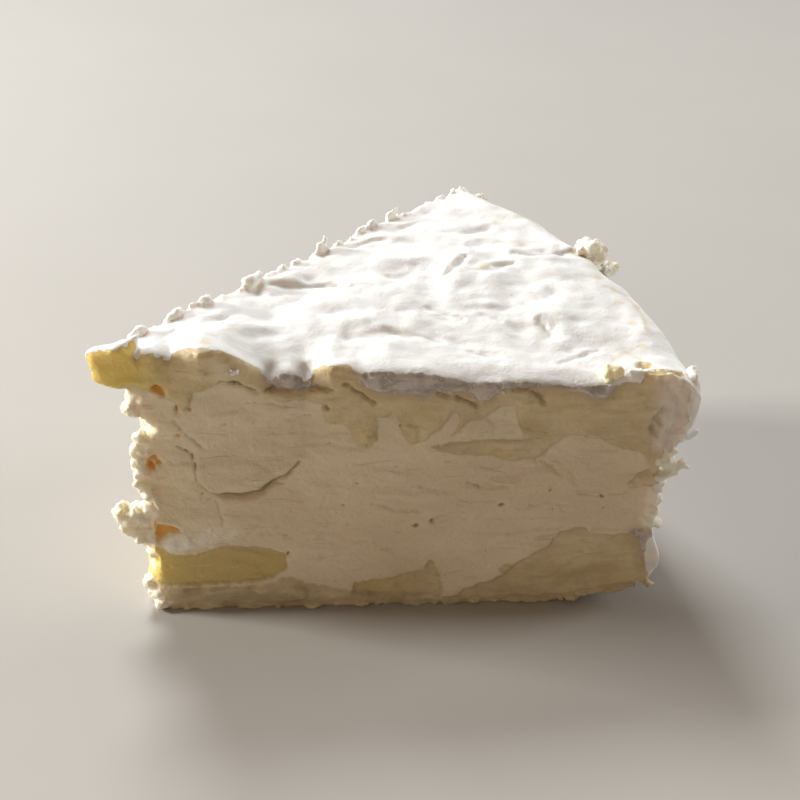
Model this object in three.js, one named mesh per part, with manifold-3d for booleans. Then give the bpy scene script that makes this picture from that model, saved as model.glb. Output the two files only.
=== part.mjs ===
// A wedge of soft, bloomy-rind, triple-cream cheese, cut from a low round wheel and lying on its base.
//
// Millimetres, +Z up. The base is flat at z = 0. The near cut face lies along +X and faces -Y, the point of
// the wedge is at the -X end, and the wheel's rind wall is at the +X end. The wedge grew as one piece, so it
// is one solid: a box grid bent into a slice of the wheel, with curds and a torn flap fused to it.

import * as THREE from "three";
import { mergeVertices } from "three/addons/utils/BufferGeometryUtils.js";
import Module from "manifold-3d";

// ---- Driving dimensions ----

const WHEEL_RADIUS = 105;
const WEDGE_ANGLE = THREE.MathUtils.degToRad(47);
const POINT_HEIGHT = 56; // the wheel is thickest at its middle
const RIM_HEIGHT = 50; // and slumps a little towards its rind wall
const WHEEL_AXIS = new THREE.Vector3(-60, -24, 0); // where the wheel's axis stands in the part's own frame

const TOP_ROUNDING = 8; // radius of the wheel's upper edge
const FOOT_ROUNDING = 6; // radius of the wheel's lower edge
const LIP_REACH = 1.6; // how far the rind's cut edge stands out of a cut face
const LIP_DEPTH = 6; // how far down the cut face that lip runs
const SMEAR = 0.4; // height of the knife's smears on the cut faces

const RADIAL_STEPS = 30;
const ANGLE_STEPS = 12;
const HEIGHT_STEPS = 18;

// How far the broken point stands back from the wheel's axis, by height: the foot, the hollow over it, the
// band of curd at mid height, the hollow under the rind, and the rind's lip, which reaches furthest.
const POINT_OUTLINE = [
  [0, 8],
  [5.5, 6],
  [10, 7.5],
  [22, 8.2],
  [27, 6.2],
  [34, 6.2],
  [40, 8.4],
  [45, 6],
  [48.5, 3],
  [51, 1.4],
  [57, 1.2],
];

// The wall's radius by height where the near cut crosses it: the foot, the waist, and the rind's swollen roll.
const WALL_OUTLINE = [
  [0, 104],
  [6, 105],
  [12, 103],
  [28, 102.5],
  [33, 103.5],
  [38, 107],
  [43, 108.5],
  [50, 108],
];

// Height of the rind along the near cut, by distance from the wheel's axis.
const NEAR_EDGE = [
  [0, 56],
  [6, 57.5],
  [12, 54.5],
  [19, 56],
  [27, 51],
  [36, 51.5],
  [50, 51],
  [60, 50.5],
  [70, 48.5],
  [86, 47.5],
  [96, 49],
  [106, 49.5],
];

// Lumps of curd that broke out and stuck: where they sit, by angle round the wheel, distance from its axis
// and height, and their half sizes along the radius, across it and upwards.
const CURDS = [
  { angle: 0.25, radius: 7.2, height: 19.3, size: [5.9, 2.6, 3.8] }, // the big curd on the point
  { angle: 0.5, radius: 8.2, height: 31, size: [2.8, 2.2, 4.6] }, // the row above it
  { angle: 0.3, radius: 8.2, height: 4, size: [2.8, 2, 2.8] }, // the foot of the point
  { angle: 0.56, radius: 101, height: 48.6, size: [3.6, 5.2, 4.2] }, // a crumb on the rind
  { angle: 0.47, radius: 104.5, height: 44.5, size: [2.6, 3.6, 2.8] }, // and its smaller neighbour
  { angle: 0.035, radius: 102, height: 29.5, size: [5.2, 2.4, 1.8] }, // the torn flap on the wall
];

// ---- The slice ----

const clamp01 = (t) => Math.min(1, Math.max(0, t));

// A smooth step from 0 at t = 0 to 1 at t = 1.
const smooth = (t) => clamp01(t) ** 2 * (3 - 2 * clamp01(t));

const mix = (a, b, t) => a + (b - a) * t;

// Straight-line reading of a table of [key, value] rows.
function read(table, key) {
  const next = table.findIndex(([k]) => k >= key);
  if (next < 0) return table[table.length - 1][1];
  if (next === 0) return table[0][1];
  const [k0, v0] = table[next - 1];
  const [k1, v1] = table[next];
  return mix(v0, v1, (key - k0) / (k1 - k0));
}

// Height of the rind's top: the wavy edge along the near cut, and soft wrinkles behind it.
function topHeight(radius, angle) {
  const x = radius * Math.cos(angle);
  const y = radius * Math.sin(angle);
  const slump = mix(POINT_HEIGHT, RIM_HEIGHT, smooth(radius / WHEEL_RADIUS));
  const swell = 1.2 * Math.sin(x / 9 + y / 14) * Math.sin(y / 8 - x / 21);
  const ripple = 0.5 * Math.sin(x / 4.3 - y / 5.1 + 1);
  const behind = smooth(y / 14);
  return mix(read(NEAR_EDGE, radius), slump + swell + ripple + 1.5, behind);
}

// How far the wheel's rounded edges hold the wall back at a height.
function edgeSetback(height, top) {
  const over = clamp01((height - top + TOP_ROUNDING) / TOP_ROUNDING);
  const under = clamp01((FOOT_ROUNDING - height) / FOOT_ROUNDING);
  const quarterRound = (t) => 1 - Math.sqrt(1 - t ** 2);
  return 0.75 * (TOP_ROUNDING * quarterRound(over) + FOOT_ROUNDING * quarterRound(under));
}

// The wall's radius: the near cut's outline fades into the plain wheel, with a faint waviness.
function wallRadius(height, top, angle) {
  const plain = WHEEL_RADIUS + 1.5 * Math.sin(Math.PI * clamp01(height / top));
  const wave = 0.6 * Math.sin(angle * 21 + height / 6);
  return mix(read(WALL_OUTLINE, height), plain, smooth(angle / 0.35)) + wave - edgeSetback(height, top);
}

// How far a cut face stands out at a place: the rind's lip along the top, and shallow smears below.
function cutRelief(radius, height, top) {
  const lip = LIP_REACH * smooth(1 - (top - height) / LIP_DEPTH) * (0.6 + 0.4 * Math.sin(radius / 5.5));
  const smear = SMEAR * Math.sin(radius / 13 + height / 7) * Math.sin(height / 5 - radius / 30);
  return (lip + smear) * smooth(height / 4) * smooth(radius / 12);
}

// Where a point of the unit grid goes. along runs from the wheel's axis to its wall, across from the near cut
// face to the far one, and up from base to top.
function place(along, across, up) {
  const angle = WEDGE_ANGLE * across;
  const top = topHeight(WHEEL_RADIUS * along, angle);
  const height = up * top;
  const radius = mix(read(POINT_OUTLINE, height), wallRadius(height, top, angle), along);
  const spot = new THREE.Vector3(radius * Math.cos(angle), radius * Math.sin(angle), height);
  const relief = cutRelief(radius, height, top);
  if (across === 0) spot.y -= relief;
  if (across === 1) spot.add(new THREE.Vector3(-Math.sin(angle), Math.cos(angle), 0).multiplyScalar(relief));
  return spot;
}

function sliceGeometry() {
  const grid = new THREE.BoxGeometry(1, 1, 1, RADIAL_STEPS, ANGLE_STEPS, HEIGHT_STEPS);
  const spots = grid.getAttribute("position");
  for (let i = 0; i < spots.count; i++) {
    const spot = place(spots.getX(i) + 0.5, spots.getY(i) + 0.5, spots.getZ(i) + 0.5);
    spots.setXYZ(i, spot.x, spot.y, spot.z);
  }
  return grid;
}

// ---- Curds ----

// A lumpy ball with the curd's half sizes, standing where the curd sits and turned along its radius.
function curdGeometry({ angle, radius, height, size }) {
  const lump = new THREE.IcosahedronGeometry(1, 3);
  const spots = lump.getAttribute("position");
  for (let i = 0; i < spots.count; i++) {
    const spot = new THREE.Vector3().fromBufferAttribute(spots, i);
    const knobs = Math.sin(5 * spot.x + 3 * spot.y) * Math.cos(4 * spot.z + 2 * spot.x);
    spot.multiplyScalar(1 + 0.14 * knobs);
    spots.setXYZ(i, spot.x, spot.y, spot.z);
  }
  return lump
    .scale(...size)
    .rotateZ(angle)
    .translate(radius * Math.cos(angle), radius * Math.sin(angle), height);
}

// ---- One solid ----

const wasm = await Module();
wasm.setup();

function solidOf(geometry) {
  const bare = geometry.clone().deleteAttribute("normal").deleteAttribute("uv");
  const merged = mergeVertices(bare, 1e-4);
  const vertProperties = merged.getAttribute("position").array;
  const triVerts = new Uint32Array(merged.index.array);
  return new wasm.Manifold(new wasm.Mesh({ numProp: 3, vertProperties, triVerts }));
}

function geometryOf(solid) {
  const { vertProperties, triVerts } = solid.getMesh();
  const geometry = new THREE.BufferGeometry();
  geometry.setAttribute("position", new THREE.BufferAttribute(vertProperties, 3));
  geometry.setIndex(new THREE.BufferAttribute(triVerts, 1));
  geometry.computeVertexNormals();
  return geometry;
}

const slice = solidOf(sliceGeometry());
const wedge = CURDS.map((curd) => solidOf(curdGeometry(curd))).reduce((whole, curd) => whole.add(curd), slice);

const ivory = new THREE.MeshStandardMaterial({ color: 0xeee3cf, roughness: 0.6, metalness: 0 });
const cheese = new THREE.Mesh(geometryOf(wedge), ivory);
cheese.name = "cheese_wedge";
cheese.position.copy(WHEEL_AXIS);

const part = new THREE.Group();
part.add(cheese);

export default part;
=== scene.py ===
import math

import bpy
import numpy as np
from mathutils import Euler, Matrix, Vector, kdtree, noise


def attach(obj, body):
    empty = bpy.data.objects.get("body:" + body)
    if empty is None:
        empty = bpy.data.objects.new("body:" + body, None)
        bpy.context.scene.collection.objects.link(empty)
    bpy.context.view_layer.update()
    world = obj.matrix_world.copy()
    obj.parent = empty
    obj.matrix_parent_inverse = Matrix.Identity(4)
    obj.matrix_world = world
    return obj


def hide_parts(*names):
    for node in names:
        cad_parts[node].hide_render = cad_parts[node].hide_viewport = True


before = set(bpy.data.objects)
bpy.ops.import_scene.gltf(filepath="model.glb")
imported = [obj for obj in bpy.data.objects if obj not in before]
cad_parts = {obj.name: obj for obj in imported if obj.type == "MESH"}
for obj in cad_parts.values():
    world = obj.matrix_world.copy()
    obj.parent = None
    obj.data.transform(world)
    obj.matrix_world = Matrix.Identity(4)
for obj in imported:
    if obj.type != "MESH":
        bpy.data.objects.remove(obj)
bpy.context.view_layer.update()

# The cheese is worked out in millimetres from the wheel's axis: x runs along the near cut, y into the wedge
# and z up from the base. The wheel's axis stands at this place in the shared frame.
MM = 0.001
AXIS = np.array([-60.0, -24.0, 0.0])

WHEEL_RADIUS = 105.0
WHEEL_HEIGHT = 50.0
TOP_ROUNDING = 5.5
FOOT_ROUNDING = 4.0
WEDGE_ANGLE = math.radians(47)
FAR_WAY = np.array([math.cos(WEDGE_ANGLE), math.sin(WEDGE_ANGLE)])  # along the far cut, towards the wall
FAR_CUT = np.array([-FAR_WAY[1], FAR_WAY[0]])  # outward, square to the far cut
POINT_WAY = np.array([math.cos(WEDGE_ANGLE / 2), math.sin(WEDGE_ANGLE / 2)])  # from the axis through the middle
POINT_BREAK = 5.6  # how far from the axis the tip of the point is broken off
POINT_PULL = 16.0  # how far past the break the cheese follows the point's outline
ROLL_START = 98.0  # where the rind's swollen roll begins along the near cut
UNDER_RIND = 43.0  # short cracks that start above this height lie close under the rind

# Cell sizes that the skins are remeshed with, and the most triangles that the cheese may have.
SLICE_CELL, CHEESE_CELL, CRUMB_CELL = 0.8, 0.42, 0.16
MOST_TRIANGLES = 190000

# A kept depth is this much at the most inside an outline, and as much below zero outside it.
DEEP = 3.0

# ---- Camera, light and floor ----


def aim(thing, target):
    """Turns a camera or lamp to a point, in millimetres in the shared frame."""
    way = Vector(target) * MM - thing.location
    thing.rotation_euler = way.to_track_quat("-Z", "Y").to_euler()


def add_camera():
    bpy.ops.object.camera_add(location=Vector((-12.98, -240.67, 165.79)) * MM)
    camera = bpy.context.object
    camera.name = "table_camera"
    camera.data.lens = 63
    camera.data.sensor_width = 36
    camera.data.clip_start = 0.005
    aim(camera, (-5.33, -4.0, 33.75))
    bpy.context.scene.camera = camera


def add_lamp(name, place, target, size, power, colour):
    bpy.ops.object.light_add(type="AREA", location=Vector(place) * MM)
    lamp = bpy.context.object
    lamp.name = name
    lamp.data.size = size * MM
    lamp.data.energy = power
    lamp.data.color = colour
    aim(lamp, target)


# Name, place, what it points at, size, power and colour.
LAMPS = [
    ("window_behind", (-330, 930, 1090), (0, 10, 30), 480, 17.3, (0.97, 0.995, 1.0)),
    ("right_edge_light", (780, 200, 270), (30, 0, 30), 260, 3.0, (1.0, 0.98, 0.95)),
    ("left_edge_light", (-770, 110, 260), (-50, -20, 25), 200, 9.0, (1.0, 0.975, 0.93)),
    ("warm_fill", (-330, -700, 330), (0, -10, 25), 600, 0.80, (1.0, 0.75, 0.53)),
]


def add_studio():
    for lamp in LAMPS:
        add_lamp(*lamp)
    world = bpy.data.worlds.new("studio")
    world.use_nodes = True
    bpy.context.scene.world = world
    sky = world.node_tree.nodes["Background"]
    sky.inputs["Color"].default_value = (1.0, 0.84, 0.68, 1)
    sky.inputs["Strength"].default_value = 0.13
    bpy.context.scene.view_settings.view_transform = "Standard"


# ---- Measures of the wheel and its cut faces ----

# Height of the rind along the near cut, by distance from the axis: rounded humps of cream line with the rind
# hanging between them at the point, then one long low sweep, and a rise at the wall.
NEAR_EDGE = [
    (0, 56), (2.2, 57.1), (4.9, 58.2), (6.3, 58.4), (7.2, 57.6), (7.8, 55.6), (8.4, 54.4), (9.4, 55.4),
    (10.6, 56.2), (12, 55.2), (13.3, 54), (14, 54.1), (15.1, 55.2), (17, 56.4), (19.3, 56.9), (21.5, 56.6),
    (23.5, 56), (25.5, 54.8), (27.1, 53.4), (28.8, 52), (30.4, 50.7), (31.4, 49.6), (32.2, 50.6), (33.4, 51.6),
    (34.8, 51.8), (36.2, 50.8), (37.1, 49.3), (38, 50), (39.1, 51.2), (40.3, 52.4), (42.1, 53), (44, 52.9),
    (46.8, 52), (50, 52.2), (58, 51.8), (66, 49.9), (76, 49.4), (84, 48.2), (91.5, 48), (93.8, 49.4), (96.5, 51),
    (100.6, 50.8), (103.3, 49.9), (106, 49),
]

# How far the top sags towards the near cut, and its humps close to the point, by distance from the axis.
EDGE_SAG = [(0, 0), (18, 0), (28, -1.6), (40, -2.4), (52, -2.8), (64, -4.4), (78, -5.2), (92, -5.8), (106, -4.4)]
POINT_HUMPS = [
    (0, -0.8), (5, 0.2), (8.2, -0.4), (11, 0), (13.5, -0.8), (19.3, 1.4), (24, 0.4), (28.5, -2), (31.4, -2.6),
    (34.6, -2), (37.1, -2.4), (42, -0.4), (47, -0.6), (52, 0),
]

# How far the humps under the rind swell out of the near cut.
NEAR_SWELL = [
    (0, 0.6), (5, 2.4), (7, 1.6), (8.2, -0.8), (10.6, 1), (13.5, -0.8), (19.3, 2.6), (25, 1.6), (28.5, 0.6),
    (31.4, -1), (34.6, 0.9), (37.1, -1), (42, 2.2), (46, 0.9), (52, 0.7), (66, 0.5), (80, 0.2), (92, 0), (98, 0.8),
    (108, 1.5),
]

# Lower edge of the rind that the knife dragged down over the near cut.
RIND_DRAG = [
    (0, 60), (28.6, 60), (29.5, 53), (30.8, 48.6), (32.2, 47.4), (34.4, 47.9), (36.5, 47), (38.4, 48), (39.4, 54),
    (44.6, 54), (46.3, 51.4), (47.4, 49.8), (48.7, 48), (50.8, 47), (53.3, 47.3), (58.6, 46.6), (60.7, 47.4),
    (62.9, 46.6), (65.7, 46.9), (67.9, 44.9), (70, 45.2), (72.4, 47), (77, 47.4), (80.6, 47.3), (84.2, 46.4),
    (87.4, 45.7), (90.4, 44.9), (92, 46.4), (94, 47.6), (96.2, 54), (110, 60),
]

# How far the torn point stands back from the axis, by height.
POINT_OUTLINE = [
    (0, 8.2), (2, 7.8), (5.5, 6.8), (8, 8.2), (14, 7.4), (18, 8), (23, 8.9), (27.6, 7.7), (32, 7.4), (36, 8.4),
    (40, 9.4), (42.5, 7.8), (45, 7), (47.8, 6.3), (48.5, 2), (49.2, 0.4), (51, 0), (53.4, -0.4), (54.6, -1.1),
    (56, -1.3), (57, 0.6), (58.4, 4),
]

# The wall's radius by height at the near cut: foot, waist, and the rind's swollen roll.
WALL_OUTLINE = [
    (0, 103.2), (4, 103.4), (7, 103.6), (12, 102.2), (16, 101.2), (22, 101.2), (28, 101.2), (32, 102), (35.5, 105),
    (38.5, 107.2), (43, 108), (46.5, 107.6), (50, 105.6),
]

# Outlines on the near cut, as (x, z).
UPPER_CREAM = [
    (-4, 60), (-4, 50), (2.5, 48.6), (6, 48.5), (10, 48), (13, 46.2), (16, 43.6), (17.5, 47.2), (24.5, 49.3),
    (29.5, 47), (33, 45), (38, 44.6), (40.2, 44.2), (40, 40.6), (43.6, 39.8), (45.4, 37), (46.8, 35), (48.6, 35.1),
    (48.4, 37.2), (47.6, 38.6), (50.1, 41.5), (53, 42.1), (54.8, 39.4), (56.3, 36), (58.3, 37), (60.8, 39.5),
    (62.3, 40.9), (62.9, 43), (64.4, 42.7), (65.1, 41), (63.7, 37.8), (66.2, 40.2), (71.9, 43), (74.9, 43.3),
    (75.6, 38.3), (77, 36.8), (80.3, 33.6), (85, 36.6), (90, 36.8), (94, 33.8), (98, 33.2), (100, 29), (101.4, 25),
    (112, 25), (112, 60),
]
MIDDLE_CREAM = [(58.5, 35.2), (64, 36.3), (74, 36), (78.5, 36.4), (81, 33.4), (79, 31.4), (75, 31.9), (66, 33.3)]
LEFT_FOOT_CREAM = [
    (5, 15.5), (8.2, 14.4), (12, 12.2), (17.5, 13), (22, 14.4), (28, 14), (33, 12.5), (32.4, 9), (30.6, 6.8),
    (27.5, 5.8), (16, 5.5), (5, 5.8),
]
MIDDLE_FOOT_CREAM = [
    (45, 5.2), (54, 6.6), (58, 7.8), (59.8, 9.8), (61.3, 8), (61.6, 5.2), (62.8, 2.4), (52, 1.2), (45, 3),
]
RIGHT_FOOT_CREAM = [
    (62.7, 0), (67.5, 4), (73, 6.3), (77, 9.8), (81.5, 13), (84.2, 16), (88, 16.8), (90, 15.2), (96, 15.8),
    (99.6, 16), (101.2, 12), (104, 5), (104, 0),
]
FOOT_RIND = [
    (5, 5.2), (16, 4.9), (28, 5.2), (33, 7), (36, 5.5), (46, 3), (62, 1.6), (104, 1.6), (104, -2), (5, -2),
]
SMALL_CREAMS = [
    (89.5, 11.6, 1.1), (56.9, 39.6, 1.4), (101.8, 31.5, 2.2), (73.9, 7.8, 1), (34.6, 3.6, 1.6),
]
RIND_RIM = [
    (102.6, 52), (104.2, 48.6), (105.6, 46.4), (106.2, 43.4), (106.2, 40.6), (105, 37.4), (103, 34.6), (114, 33),
    (114, 52),
]
RIND_FOOT = [(98.4, 15.6), (99.6, 11.5), (101.2, 7), (102.2, 3), (114, 3), (114, 15.6)]

# The long curved crack under a flake of paste, and the knife's shorter ones.
CRACK = [
    (14.1, 36), (16.3, 34.2), (17.2, 31.5), (17.3, 28.9), (18.7, 26.9), (21, 25.9), (25.5, 25.5), (28.6, 26.4),
    (31, 28.5), (33.2, 29.5), (35.8, 32.4),
]
SHORT_CRACKS = [
    [(48.8, 23.2), (52, 22.3), (57.8, 21.2)], [(13.6, 41.3), (15.6, 38.2), (18.8, 35.6)],
    [(33.6, 41.2), (38, 41.6)], [(20.4, 24.4), (21.6, 19), (18.6, 17.2)], [(27, 27.9), (33, 27.6)],
    [(66.5, 27.2), (69.5, 26.2), (74, 26)], [(79.8, 31.5), (83.8, 28.6)], [(60.5, 18.4), (66.6, 19.4)],
    [(74.5, 16), (79.5, 16.4), (84.6, 17)], [(79, 22.4), (84, 22)], [(30.8, 47.2), (36.5, 48), (42, 47.4)],
    [(44.5, 48.9), (47, 47.3), (49.8, 44.8)], [(60.4, 46.8), (63.6, 45.7), (66.5, 44.7), (67.6, 43.8)],
    [(74.2, 46.8), (77.4, 46.5), (79.3, 44.9), (79.7, 43.6)], [(63.7, 38.1), (65.2, 38.7), (65.9, 39.8)],
    [(22, 48.8), (25.4, 49), (28.6, 47.2)],
]

# Folds in the rind's roll where the near cut opens it, as lines of (x, z), and their depths. The first two are
# painted dark inside, as shade.
ROLL_FOLDS = [
    ([(101.4, 42.2), (100.4, 40.6), (100.9, 38.9)], 1.1),
    ([(99.6, 38.6), (100.4, 37.2)], 1.1),
    ([(103.4, 49.4), (105.4, 46.6), (106.6, 43.6), (106.8, 40.6), (105.8, 37.4), (104.4, 35.4)], 0.5),
    ([(101.6, 47.6), (104, 44.4), (104.6, 41.4), (103.2, 37.6)], 0.5),
]

# Brown-orange holes where air stood in the curd: x, z and radius.
AIR_HOLES = [
    (16.2, 43.9, 0.5), (8.4, 31.4, 0.8), (9.6, 33.4, 0.8), (10.4, 32.2, 0.6), (24.8, 48.8, 0.4), (14.2, 38.2, 0.5),
    (22.6, 40.6, 0.25), (28.5, 44.9, 0.25), (41.1, 36.3, 0.25), (46, 27.3, 0.3), (82.4, 25.7, 0.35),
    (91.2, 24.1, 0.35), (73, 22.2, 0.4), (82.2, 21, 0.3), (57.4, 18.1, 0.45), (60.1, 18.8, 0.5), (40.6, 43.5, 0.5),
    (33.2, 12.4, 0.5), (17.8, 25.9, 0.3), (43.4, 22.9, 0.3),
]

# Larger torn hollows, as (x, z); near the point they take a painted amber glow.
CAVITIES = [
    [(7.2, 22.4), (8.4, 22.2), (9, 19.8), (12, 19.2), (14, 17.9), (11.2, 16.8), (10, 14.4), (8.2, 15.2), (7, 19)],
    [(7.4, 34.6), (8.4, 34.4), (9.6, 32), (10, 30.6), (8.8, 30.8), (7.8, 32.6)],
    [(9.8, 48.4), (11.4, 49.5), (12.8, 48.6), (13, 47), (12.2, 46.2), (11.2, 47.2)],
    [(14.1, 45), (14.9, 44.4), (14.8, 43), (14.2, 42.6), (13.9, 43.8)],
]

# Dents and creases in the top: x, y, half length, half width, direction in degrees and depth.
TOP_DENTS = [
    (34, 27, 3.4, 1.8, 10, 1.2), (43.5, 28.4, 4.4, 0.6, -14, 1), (30, 8.5, 4.2, 1.8, 15, 0.9),
    (27, 26.5, 3, 1.6, 30, 0.9), (50, 9.9, 4.6, 2, 5, 1.1), (45, 9, 1.4, 3, -20, 0.8), (57, 35, 4.6, 2, 0, 1.2),
    (64, 9.5, 3.6, 1.2, -30, 0.8), (55.5, 10.6, 3.2, 1, -25, 0.8), (66, 36.5, 0.7, 4, -24, 0.9),
    (73.5, 35.6, 3.8, 0.8, 28, 0.9), (61, 18.2, 3.6, 0.9, -28, 0.9), (81.3, 13.2, 1.4, 2.6, -25, 0.8),
    (78, 15, 3.4, 2.2, 10, 0.9), (87, 42.6, 4.6, 1.4, 10, 1.3), (71.2, 5.2, 2.6, 0.9, -40, 0.4),
    (46.4, 51, 4.2, 0.5, 8, 0.8), (57, 54.8, 5, 0.45, 16, 0.7), (62, 62, 4, 1.6, 30, 0.9), (51, 46, 4, 1.4, 10, 1),
    (13, 7.4, 2.4, 1, 40, 0.6), (22, 14, 3.4, 1.2, 35, 0.8), (37.6, 31.8, 1.5, 1.1, 50, 0.8),
    (88, 7, 3.4, 0.8, -35, 0.7), (85, 27, 3.2, 1.4, 20, 0.7), (40, 18, 4.2, 1.2, -12, 0.7),
    (72, 21, 4, 1.3, 15, 0.7), (71, 52, 3.6, 1.4, 20, 0.8), (66, 70, 3, 1.2, 60, 0.8),
]

# Fine creases in the rind, as lines of (x, y), and how deep the knife-thin ones go.
TOP_CREASES = [
    ([(43, 44.5), (46.2, 44.6), (47.8, 46.3), (49.9, 47.5), (53, 47.9)], 0.5),
    ([(30, 28.2), (34, 28), (40, 28.6), (44, 28.2)], 0.6), ([(64.4, 32.4), (66, 36), (68.4, 39.6)], 0.6),
    ([(80.6, 17.6), (81.6, 14.6), (83.2, 12.4)], 0.5), ([(78, 41.6), (84, 41.2), (90, 43.4), (94, 45)], 0.6),
    ([(60, 20.6), (63.6, 18.6), (66, 17.4)], 0.6), ([(70, 19), (73, 17.4)], 0.4), ([(74, 36.6), (78, 37.8)], 0.5),
    ([(83, 4.5), (87, 7.5), (90, 9)], 0.4), ([(67, 6.6), (70, 5.2), (72, 3.6)], 0.5),
    ([(52, 12), (58, 10.6), (62, 9)], 0.4),
]

# Beige lines where the wheel's upper edge is rubbed.
RUB_LINES = [
    [(78.2, 64), (81, 60.4), (84.6, 56), (88.6, 51.4), (91, 46.4), (93.2, 41.8), (95, 37)],
    [(95.4, 30.6), (98, 29.2), (99.8, 24.6), (100.4, 20.4), (100.4, 15)], [(93.2, 6.6), (95.2, 8.8), (97.2, 6.4)],
]

# Where the rind is rubbed through to beige along the wheel's upper edge and over the wrinkles: x, y and radius.
RUBS = [
    (85, 62.6, 2.2), (87.7, 54.8, 2), (90.5, 43, 2), (93.9, 33.6, 1.8), (96.6, 24.4, 1.8), (98.2, 17.5, 1.5),
    (98.6, 10.3, 1.6), (27, 28.6, 2.2), (33, 24, 1.6), (42, 30.4, 1.4), (52.5, 33.6, 1.2), (71.8, 36.2, 1.8),
    (57, 30, 1), (96, 2.2, 2.4), (60.6, 1.4, 1.2), (63.8, 31, 1.2), (20, 1.2, 2.6), (24, 10, 1.2), (80, 46, 1.4),
    (76, 56, 1.6),
]

# ---- Reading measures ----


def read(rows, key):
    """Straight-line reading of rows of (key, value)."""
    return np.interp(key, [row[0] for row in rows], [row[1] for row in rows])


def smooth(t):
    """0 below 0, 1 above 1, and a soft step between."""
    t = np.clip(t, 0, 1)
    return t * t * (3 - 2 * t)


def mix(a, b, t):
    return a + (b - a) * t


def off_segment(start, end, x, z):
    """Millimetres from a straight line between two points."""
    (ax, az), (bx, bz) = start, end
    t = np.clip(((x - ax) * (bx - ax) + (z - az) * (bz - az)) / ((bx - ax) ** 2 + (bz - az) ** 2), 0, 1)
    return np.hypot(x - ax - t * (bx - ax), z - az - t * (bz - az))


def distance_to(path, x, z):
    """Millimetres from a line of points."""
    return np.minimum.reduce([off_segment(start, end, x, z) for start, end in zip(path, path[1:])])


def depth_in(outline, x, z):
    """Millimetres inside an outline, negative outside it."""
    closed = outline + outline[:1]
    within = np.zeros(x.shape, bool)
    for (ax, az), (bx, bz) in zip(closed, closed[1:]):
        if az != bz:
            within ^= ((az > z) != (bz > z)) & (x < (bx - ax) * (z - az) / (bz - az) + ax)
    near = distance_to(closed, x, z)
    return np.where(within, near, -near)


def bell(across, along=0.0):
    """1 at 0, fading away a little past 1."""
    return np.exp(-(across**2) - along**2)


def grain(p, size, octaves=1, stretch=(1, 1, 1), shift=0.0):
    """Soft lumpiness from about -1 to 1, whose lumps are size millimetres across."""
    spots = (p / (size * np.array(stretch)) + shift).tolist()
    if octaves == 1:
        return np.array([noise.noise(spot) for spot in spots])
    return np.array([noise.fractal(spot, 1.0, 2.0, octaves) for spot in spots])


# ---- Handling meshes ----


def take(rows, name, width, kind=float):
    """One property of all the vertices or edges."""
    values = np.empty(len(rows) * width, kind)
    rows.foreach_get(name, values)
    return values.reshape(-1, width)


def take_spots(piece):
    return take(piece.data.vertices, "co", 3) / MM - AXIS


def take_normals(piece):
    return take(piece.data.vertices, "normal", 3)


def put_spots(piece, spots):
    piece.data.vertices.foreach_set("co", ((spots + AXIS) * MM).ravel())
    piece.data.update()


def even_out(values, edges, rounds):
    """Averages each vertex's value with its neighbours'."""
    count = np.bincount(edges.ravel(), minlength=len(values))[:, None] + 1.0
    columns = values.reshape(len(values), -1)
    for _ in range(rounds):
        total = columns.copy()
        for a, b in ((0, 1), (1, 0)):
            for k in range(columns.shape[1]):
                total[:, k] += np.bincount(edges[:, a], columns[edges[:, b], k], len(values))
        columns = total / count
    return columns.reshape(values.shape)


def keep_values(piece, **kept):
    """Stores numbers on a piece's vertices, under the names that its finish reads."""
    for name, values in kept.items():
        layer = piece.data.attributes.new(name, "FLOAT", "POINT")
        layer.data.foreach_set("value", values.astype(np.float32))


def nearest_marks(spots, marks, p):
    """For each place in p, the mark of the spot that is nearest to it."""
    finder = kdtree.KDTree(len(spots))
    for number, spot in enumerate(spots.tolist()):
        finder.insert(spot, number)
    finder.balance()
    return marks[[finder.find(spot)[1] for spot in p.tolist()]]


def select_only(piece):
    bpy.ops.object.select_all(action="DESELECT")
    piece.select_set(True)
    bpy.context.view_layer.objects.active = piece


def apply_modifier(piece, kind, **settings):
    bpy.context.view_layer.objects.active = piece
    modifier = piece.modifiers.new(kind.lower(), kind)
    for name, value in settings.items():
        setattr(modifier, name, value)
    bpy.ops.object.modifier_apply(modifier=modifier.name)


def settle_at_origin(piece):
    select_only(piece)
    bpy.ops.object.transform_apply(location=True, rotation=True, scale=True)


def join_all(pieces, name):
    select_only(pieces[0])
    for piece in pieces:
        piece.select_set(True)
    bpy.ops.object.join()
    pieces[0].name = name
    return pieces[0]


def drop_specks(piece):
    """Deletes what lies loose from the body of a piece, and returns that body under the piece's name."""
    name = piece.name
    select_only(piece)
    bpy.ops.mesh.separate(type="LOOSE")
    *specks, body = sorted(bpy.context.selected_objects, key=lambda part: len(part.data.vertices))
    for speck in specks:
        bpy.data.objects.remove(speck)
    body.name = name
    return body


# ---- The wheel and its slice ----


def cut(place, outward):
    """Slices the wheel with an upright knife, throws the outward side away and closes the face."""
    bpy.ops.mesh.select_all(action="SELECT")
    bpy.ops.mesh.bisect(
        plane_co=[(place[0] + AXIS[0]) * MM, (place[1] + AXIS[1]) * MM, 0],
        plane_no=[outward[0], outward[1], 0],
        use_fill=True,
        clear_outer=True,
    )


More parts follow.
